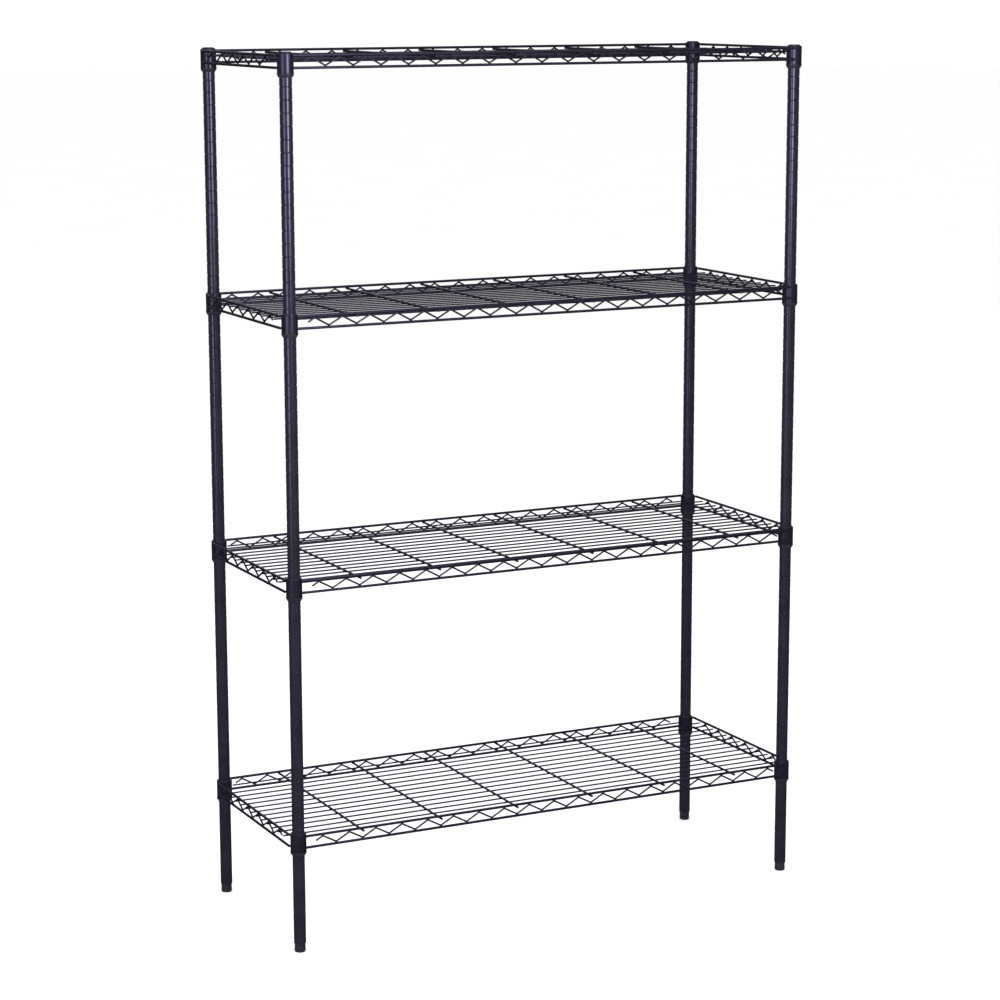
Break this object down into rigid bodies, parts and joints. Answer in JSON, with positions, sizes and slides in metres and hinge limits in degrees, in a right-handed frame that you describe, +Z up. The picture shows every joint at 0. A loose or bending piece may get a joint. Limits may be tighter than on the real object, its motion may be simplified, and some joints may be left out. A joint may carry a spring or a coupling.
{
  "type": "wire shelving rack",
  "caption": "Free-standing wire shelving rack: round grooved posts on levelling feet carry welded wire shelves on split sleeves.",
  "frame": {"origin": "on the floor, under the middle of the rack", "axes": "+Z up along the posts, +X along the long side of the shelves to the right, -Y out of the front"},
  "size_m": [1.2036, 0.47, 1.832],
  "materials": {
    "post_epoxy": "semi-gloss black epoxy on steel tube, faint violet cast",
    "shelf_epoxy": "semi-gloss black epoxy on welded steel wire",
    "sleeve_plastic": "satin moulded black plastic",
    "cap_plastic": "satin moulded black plastic",
    "foot_plastic": "satin moulded black plastic, scuffed at the floor",
    "zinc_steel": "zinc-plated threaded rod"
  },
  "bodies": {
    "root": {"post_front_left": "post_epoxy", "post_cap_front_left": "cap_plastic", "foot_insert_front_left": "foot_plastic", "post_front_right": "post_epoxy", "post_cap_front_right": "cap_plastic", "foot_insert_front_right": "foot_plastic", "post_back_left": "post_epoxy", "post_cap_back_left": "cap_plastic", "foot_insert_back_left": "foot_plastic", "post_back_right": "post_epoxy", "post_cap_back_right": "cap_plastic", "foot_insert_back_right": "foot_plastic", "sleeve_1_front_left_back": "sleeve_plastic", "sleeve_1_front_left_front": "sleeve_plastic", "sleeve_1_front_right_back": "sleeve_plastic", "sleeve_1_front_right_front": "sleeve_plastic", "sleeve_1_back_left_back": "sleeve_plastic", "sleeve_1_back_left_front": "sleeve_plastic", "sleeve_1_back_right_back": "sleeve_plastic", "sleeve_1_back_right_front": "sleeve_plastic", "sleeve_2_front_left_back": "sleeve_plastic", "sleeve_2_front_left_front": "sleeve_plastic", "sleeve_2_front_right_back": "sleeve_plastic", "sleeve_2_front_right_front": "sleeve_plastic", "sleeve_2_back_left_back": "sleeve_plastic", "sleeve_2_back_left_front": "sleeve_plastic", "sleeve_2_back_right_back": "sleeve_plastic", "sleeve_2_back_right_front": "sleeve_plastic", "sleeve_3_front_left_back": "sleeve_plastic", "sleeve_3_front_left_front": "sleeve_plastic", "sleeve_3_front_right_back": "sleeve_plastic", "sleeve_3_front_right_front": "sleeve_plastic", "sleeve_3_back_left_back": "sleeve_plastic", "sleeve_3_back_left_front": "sleeve_plastic", "sleeve_3_back_right_back": "sleeve_plastic", "sleeve_3_back_right_front": "sleeve_plastic", "sleeve_4_front_left_back": "sleeve_plastic", "sleeve_4_front_left_front": "sleeve_plastic", "sleeve_4_front_right_back": "sleeve_plastic", "sleeve_4_front_right_front": "sleeve_plastic", "sleeve_4_back_left_back": "sleeve_plastic", "sleeve_4_back_left_front": "sleeve_plastic", "sleeve_4_back_right_back": "sleeve_plastic", "sleeve_4_back_right_front": "sleeve_plastic"},
    "shelf_1": {"shelf_1_frame": "shelf_epoxy", "shelf_1_mat": "shelf_epoxy"},
    "shelf_2": {"shelf_2_frame": "shelf_epoxy", "shelf_2_mat": "shelf_epoxy"},
    "shelf_3": {"shelf_3_frame": "shelf_epoxy", "shelf_3_mat": "shelf_epoxy"},
    "shelf_4": {"shelf_4_frame": "shelf_epoxy", "shelf_4_mat": "shelf_epoxy"},
    "stud_front_left": {"foot_stud_front_left": "zinc_steel"},
    "pad_front_left": {"foot_pad_front_left": "foot_plastic"},
    "stud_front_right": {"foot_stud_front_right": "zinc_steel"},
    "pad_front_right": {"foot_pad_front_right": "foot_plastic"},
    "stud_back_left": {"foot_stud_back_left": "zinc_steel"},
    "pad_back_left": {"foot_pad_back_left": "foot_plastic"},
    "stud_back_right": {"foot_stud_back_right": "zinc_steel"},
    "pad_back_right": {"foot_pad_back_right": "foot_plastic"}
  },
  "joints": [
    {"name": "shelf_1_lift", "type": "slide", "parent": "root", "child": "shelf_1", "axis": [0, 0, 1], "range_m": [0, 0.15]},
    {"name": "shelf_2_lift", "type": "slide", "parent": "root", "child": "shelf_2", "axis": [0, 0, 1], "range_m": [0, 0.455]},
    {"name": "shelf_3_lift", "type": "slide", "parent": "root", "child": "shelf_3", "axis": [0, 0, 1], "range_m": [0, 0.48]},
    {"name": "shelf_4_lift", "type": "slide", "parent": "root", "child": "shelf_4", "axis": [0, 0, 1], "range_m": [0, 0.48]},
    {"name": "foot_front_left_travel", "type": "slide", "parent": "root", "child": "stud_front_left", "axis": [0, 0, -1], "range_m": [0, 0.018]},
    {"name": "foot_front_left_turn", "type": "hinge", "parent": "stud_front_left", "child": "pad_front_left", "pos_m": [-0.582, -0.212, 0], "axis": [0, 0, -1], "range_deg": [0, 4320]},
    {"name": "foot_front_right_travel", "type": "slide", "parent": "root", "child": "stud_front_right", "axis": [0, 0, -1], "range_m": [0, 0.018]},
    {"name": "foot_front_right_turn", "type": "hinge", "parent": "stud_front_right", "child": "pad_front_right", "pos_m": [0.582, -0.212, 0], "axis": [0, 0, -1], "range_deg": [0, 4320]},
    {"name": "foot_back_left_travel", "type": "slide", "parent": "root", "child": "stud_back_left", "axis": [0, 0, -1], "range_m": [0, 0.018]},
    {"name": "foot_back_left_turn", "type": "hinge", "parent": "stud_back_left", "child": "pad_back_left", "pos_m": [-0.582, 0.212, 0], "axis": [0, 0, -1], "range_deg": [0, 4320]},
    {"name": "foot_back_right_travel", "type": "slide", "parent": "root", "child": "stud_back_right", "axis": [0, 0, -1], "range_m": [0, 0.018]},
    {"name": "foot_back_right_turn", "type": "hinge", "parent": "stud_back_right", "child": "pad_back_right", "pos_m": [0.582, 0.212, 0], "axis": [0, 0, -1], "range_deg": [0, 4320]}
  ],
  "couplings": [
    {"joint": "foot_front_left_turn", "follows": "foot_front_left_travel", "rad_per_m": 4188.8},
    {"joint": "foot_front_right_turn", "follows": "foot_front_right_travel", "rad_per_m": 4188.8},
    {"joint": "foot_back_left_turn", "follows": "foot_back_left_travel", "rad_per_m": 4188.8},
    {"joint": "foot_back_right_turn", "follows": "foot_back_right_travel", "rad_per_m": 4188.8}
  ]
}
